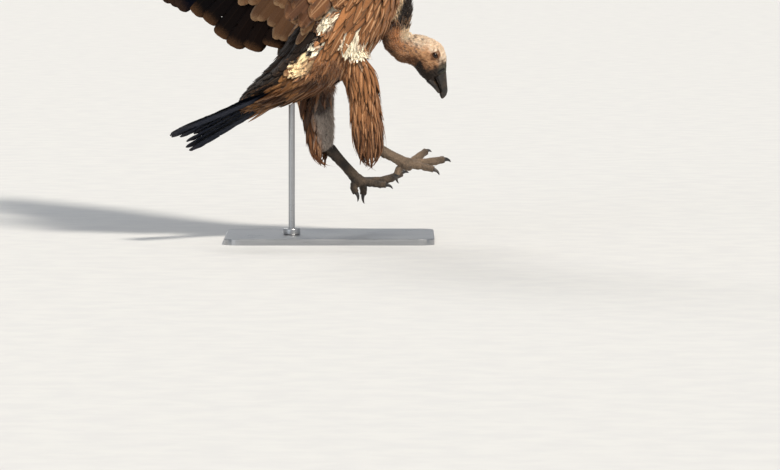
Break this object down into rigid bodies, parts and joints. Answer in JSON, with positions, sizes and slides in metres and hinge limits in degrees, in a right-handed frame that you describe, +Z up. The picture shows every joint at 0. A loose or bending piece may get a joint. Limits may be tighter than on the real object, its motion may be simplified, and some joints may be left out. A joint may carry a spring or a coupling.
{
  "type": "white-backed vulture",
  "caption": "Immature white-backed vulture coming in to land, a life-size still museum model on a flat steel base and rod.",
  "frame": {"origin": "centre of the stand base's underside", "axes": "+Z up; the bird faces +X, turned about 25 degrees towards +Y; its right side is towards -Y"},
  "size_m": [0.7223, 1.1598, 1.5271],
  "materials": {
    "down": "matte short down on the head and neck",
    "plumage_brown": "matte streaked body feathers",
    "flight_black": "satin flight feathers",
    "leg_skin": "scaly skin",
    "horn_black": "horn",
    "eye_brown": "wet gloss",
    "stand_steel": "satin steel"
  },
  "bodies": {
    "root": {"bill_lower": "horn_black", "bill_upper": "horn_black", "claw_left_1": "horn_black", "claw_left_2": "horn_black", "claw_left_3": "horn_black", "claw_left_4": "horn_black", "claw_right_1": "horn_black", "claw_right_2": "horn_black", "claw_right_3": "horn_black", "claw_right_4": "horn_black", "eye_left": "eye_brown", "eye_right": "eye_brown", "foot_left": "leg_skin", "foot_right": "leg_skin", "head": "down", "neck": "down", "neck_ruff": "down", "stand_base": "stand_steel", "stand_rod": "stand_steel", "tail": "flight_black", "tarsus_left": "leg_skin", "tarsus_right": "leg_skin", "thigh_left": "plumage_brown", "thigh_right": "plumage_brown", "trunk": "plumage_brown", "wing_left_forearm": "plumage_brown", "wing_left_hand": "plumage_brown", "wing_left_primaries": "flight_black", "wing_left_secondaries": "flight_black", "wing_left_tertials": "plumage_brown", "wing_left_upper_arm": "plumage_brown", "wing_right_forearm": "plumage_brown", "wing_right_hand": "plumage_brown", "wing_right_primaries": "flight_black", "wing_right_secondaries": "flight_black", "wing_right_tertials": "plumage_brown", "wing_right_upper_arm": "plumage_brown"}
  },
  "joints": []
}
